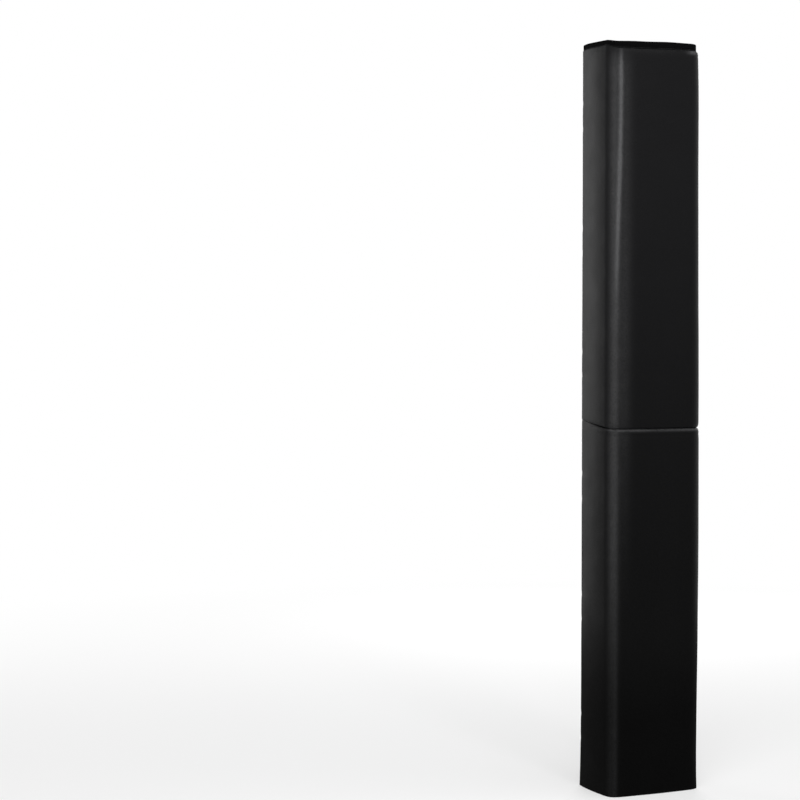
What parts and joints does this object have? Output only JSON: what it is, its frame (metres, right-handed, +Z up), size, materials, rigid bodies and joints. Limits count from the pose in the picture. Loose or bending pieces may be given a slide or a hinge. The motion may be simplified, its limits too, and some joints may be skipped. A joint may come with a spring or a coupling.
{
  "type": "pole pad",
  "caption": "Tall three-sided padded cover for a square pole, in two folding sections with hinged wings and straps across the open back.",
  "frame": {"origin": "middle of the pad's box, on the floor it stands on", "axes": "+Z up the pad, -Y out of its front face, +X to the right of someone facing the front"},
  "size_m": [0.2618, 0.1597, 1.829],
  "materials": {
    "vinyl": "satin",
    "liner": "matte",
    "foam": "matte",
    "webbing": "matte",
    "hook_and_loop": "matte"
  },
  "bodies": {
    "lower_front": {"lower_front_cover": "vinyl", "lower_front_liner": "liner", "lower_front_foam": "foam", "seam_hinge_tape": "vinyl"},
    "lower_left_wing": {"lower_left_wing_cover": "vinyl", "lower_left_wing_liner": "liner", "lower_left_wing_foam": "foam", "strap_1_anchor_tab": "webbing", "strap_2_anchor_tab": "webbing", "strap_3_anchor_tab": "webbing"},
    "lower_right_wing": {"lower_right_wing_cover": "vinyl", "lower_right_wing_liner": "liner", "lower_right_wing_foam": "foam", "strap_1_loop_patch": "hook_and_loop", "strap_2_loop_patch": "hook_and_loop", "strap_3_loop_patch": "hook_and_loop"},
    "upper_front": {"upper_front_cover": "vinyl", "upper_front_liner": "liner", "upper_front_foam": "foam", "top_binding_front": "webbing"},
    "upper_left_wing": {"upper_left_wing_cover": "vinyl", "upper_left_wing_liner": "liner", "upper_left_wing_foam": "foam", "top_binding_left_wing": "webbing", "strap_4_anchor_tab": "webbing", "strap_5_anchor_tab": "webbing", "strap_6_anchor_tab": "webbing"},
    "upper_right_wing": {"upper_right_wing_cover": "vinyl", "upper_right_wing_liner": "liner", "upper_right_wing_foam": "foam", "top_binding_right_wing": "webbing", "strap_4_loop_patch": "hook_and_loop", "strap_5_loop_patch": "hook_and_loop", "strap_6_loop_patch": "hook_and_loop"},
    "strap_1": {"strap_1_webbing": "webbing", "strap_1_hook_tape": "hook_and_loop"},
    "strap_2": {"strap_2_webbing": "webbing", "strap_2_hook_tape": "hook_and_loop"},
    "strap_3": {"strap_3_webbing": "webbing", "strap_3_hook_tape": "hook_and_loop"},
    "strap_4": {"strap_4_webbing": "webbing", "strap_4_hook_tape": "hook_and_loop"},
    "strap_5": {"strap_5_webbing": "webbing", "strap_5_hook_tape": "hook_and_loop"},
    "strap_6": {"strap_6_webbing": "webbing", "strap_6_hook_tape": "hook_and_loop"}
  },
  "joints": [
    {"name": "mid_fold", "type": "hinge", "parent": "lower_front", "child": "upper_front", "pos_m": [0, -0.0804, 0.896], "axis": [1, 0, 0], "range_deg": [0, 180]},
    {"name": "lower_left_wing_hinge", "type": "hinge", "parent": "lower_front", "child": "lower_left_wing", "pos_m": [-0.11787, -0.06677, 0.44725], "axis": [0, 0, 1], "range_deg": [0, 90]},
    {"name": "lower_right_wing_hinge", "type": "hinge", "parent": "lower_front", "child": "lower_right_wing", "pos_m": [0.11787, -0.06677, 0.44725], "axis": [0, 0, -1], "range_deg": [0, 90]},
    {"name": "upper_left_wing_hinge", "type": "hinge", "parent": "upper_front", "child": "upper_left_wing", "pos_m": [-0.11787, -0.06677, 1.3551], "axis": [0, 0, 1], "range_deg": [0, 90]},
    {"name": "upper_right_wing_hinge", "type": "hinge", "parent": "upper_front", "child": "upper_right_wing", "pos_m": [0.11787, -0.06677, 1.3551], "axis": [0, 0, -1], "range_deg": [0, 90]},
    {"name": "strap_1_hinge", "type": "hinge", "parent": "lower_left_wing", "child": "strap_1", "pos_m": [-0.095, 0.07494, 0.14908], "axis": [0, 0, 1], "range_deg": [0, 90]},
    {"name": "strap_2_hinge", "type": "hinge", "parent": "lower_left_wing", "child": "strap_2", "pos_m": [-0.095, 0.07494, 0.44725], "axis": [0, 0, 1], "range_deg": [0, 90]},
    {"name": "strap_3_hinge", "type": "hinge", "parent": "lower_left_wing", "child": "strap_3", "pos_m": [-0.095, 0.07494, 0.74542], "axis": [0, 0, 1], "range_deg": [0, 90]},
    {"name": "strap_4_hinge", "type": "hinge", "parent": "upper_left_wing", "child": "strap_4", "pos_m": [-0.095, 0.07494, 1.05003], "axis": [0, 0, 1], "range_deg": [0, 90]},
    {"name": "strap_5_hinge", "type": "hinge", "parent": "upper_left_wing", "child": "strap_5", "pos_m": [-0.095, 0.07494, 1.3551], "axis": [0, 0, 1], "range_deg": [0, 90]},
    {"name": "strap_6_hinge", "type": "hinge", "parent": "upper_left_wing", "child": "strap_6", "pos_m": [-0.095, 0.07494, 1.66017], "axis": [0, 0, 1], "range_deg": [0, 90]}
  ]
}
